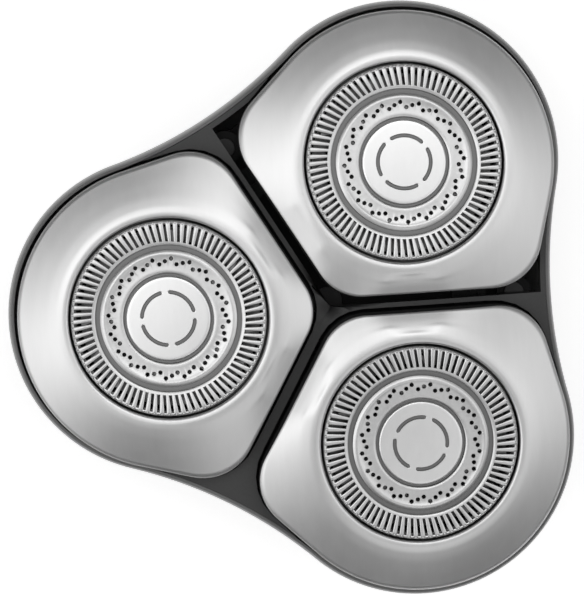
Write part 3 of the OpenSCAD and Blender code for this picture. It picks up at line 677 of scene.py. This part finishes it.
for name, node in frame["nodes"].items():
    if node.hide_render:
        continue
    slotName = next(s["material_slot"] for s in frame["record"]["subparts"] if s["node"] == name)
    node.data.materials.clear()
    node.data.materials.append(finishes[slotName])
edge = frame["nodes"]["front_frame"].modifiers.new("edge", "BEVEL")
edge.width, edge.segments, edge.limit_method, edge.angle_limit = 0.00006, 2, "ANGLE", radians(40)
print("kept nodes dressed")


# soft lights of the studio: azimuth and height in degrees, strength, and how small each one is
softLights = [
    (71, 66, 2.95, 50), (195, 42.5, 1.8, 17.4), (354, 52.5, 1.35, 13), (280, 55, 1.3, 45), (157, 68, 2.2, 29),
]
studio = {"floor": 0.86, "floorGlow": 0.62, "dim": 0.07}


def makeFloor():
    material, board = newMaterial("paleFloor")
    place = board.add("ShaderNodeTexCoord", {}, out=3)
    cloud = board.add("ShaderNodeTexNoise", {}, {"Vector": place, "Scale": 30.0, "Detail": 3.0})
    tone = board.colours(studio["floor"] - 0.01, studio["floor"] + 0.01, cloud)
    path = board.add("ShaderNodeLightPath")
    seen = board.tree.nodes[-1].outputs
    direct = board.maths("MAXIMUM", Wire(board, seen["Is Camera Ray"]),
                         board.maths("MAXIMUM", Wire(board, seen["Is Glossy Ray"]),
                                     Wire(board, seen["Is Transmission Ray"])))
    matte = board.add("ShaderNodeBsdfDiffuse", {}, {"Color": tone})
    glow = board.add("ShaderNodeEmission", {}, {"Color": 1.0, "Strength": direct * studio["floorGlow"]})
    both = board.add("ShaderNodeAddShader", {}, {0: matte, 1: glow})
    board.add("ShaderNodeOutputMaterial", {}, {"Surface": both})
    mesh = bpy.data.meshes.new("floor")
    w, z = 4.0, -0.00002             # just under the collar, so that the two faces never flicker
    mesh.from_pydata([(-w, -w, z), (w, -w, z), (w, w, z), (-w, w, z)], [], [(0, 1, 2, 3)])
    mesh.materials.append(material)
    floor = bpy.data.objects.new("floor", mesh)
    bpy.context.scene.collection.objects.link(floor)


def makeWorld():
    world = bpy.data.worlds.new("studio")
    bpy.context.scene.world = world
    world.use_nodes = True
    board = Board(world.node_tree)
    sky = board.add("ShaderNodeTexCoord", {})
    dome = studio["dim"]
    for azimuth, height, strength, sharp in softLights:
        az, up = radians(azimuth), radians(height)
        aim = (cos(up) * cos(az), cos(up) * sin(az), sin(up))
        near = board.add("ShaderNodeVectorMath", {"operation": "DOT_PRODUCT"}, {0: sky, 1: aim}, out=1)
        dome = dome + strength * board.maths("EXPONENT", (near - 1.0) * sharp)
    board.add("ShaderNodeSeparateXYZ", {}, {"Vector": sky})
    z = Wire(board, board.tree.nodes[-1].outputs["Z"])
    path = board.add("ShaderNodeLightPath")
    seen = board.tree.nodes[-1].outputs
    mirrored = board.maths("MAXIMUM", Wire(board, seen["Is Glossy Ray"]), Wire(board, seen["Is Transmission Ray"]))
    horizon = 1.0 - board.smooth(z, 0.0, 0.06)
    white = board.maths("MAXIMUM", Wire(board, seen["Is Camera Ray"]), mirrored * horizon)
    strength = dome + white * (1.0 - dome)
    shade = board.add("ShaderNodeBackground", {}, {"Color": 1.0, "Strength": strength})
    board.add("ShaderNodeOutputWorld", {}, {"Surface": shade})


camera = {"azimuth": 120.0, "elevation": 85.0, "distance": 0.6, "roll": 3.69, "aim": (-3.93, 0.89, 18.0),
          "pixelsPerMm": 9.54, "imageWidth": 584}


def makeCamera():
    az, el = radians(camera["azimuth"]), radians(camera["elevation"])
    back = Vector((cos(el) * cos(az), cos(el) * sin(az), sin(el)))
    right = Vector((cos(radians(-camera["roll"])), sin(radians(-camera["roll"])), 0))
    right = (right - back * right.dot(back)).normalized()
    up = back.cross(right)
    aim = Vector(camera["aim"]) * mm
    eye = bpy.data.objects.new("camera", bpy.data.cameras.new("camera"))
    eye.matrix_world = (Matrix.Translation(aim + back * camera["distance"])
                        @ Matrix((right, up, back)).transposed().to_4x4())
    lens = eye.data
    lens.sensor_fit = "HORIZONTAL"
    width = camera["imageWidth"] / camera["pixelsPerMm"] * mm
    lens.lens = lens.sensor_width * camera["distance"] / width
    lens.clip_start, lens.clip_end = 0.01, 20
    bpy.context.scene.collection.objects.link(eye)
    bpy.context.scene.camera = eye


makeFloor()
makeWorld()
makeCamera()
bpy.context.scene.view_settings.view_transform = "Standard"
print("stage, light and camera set")
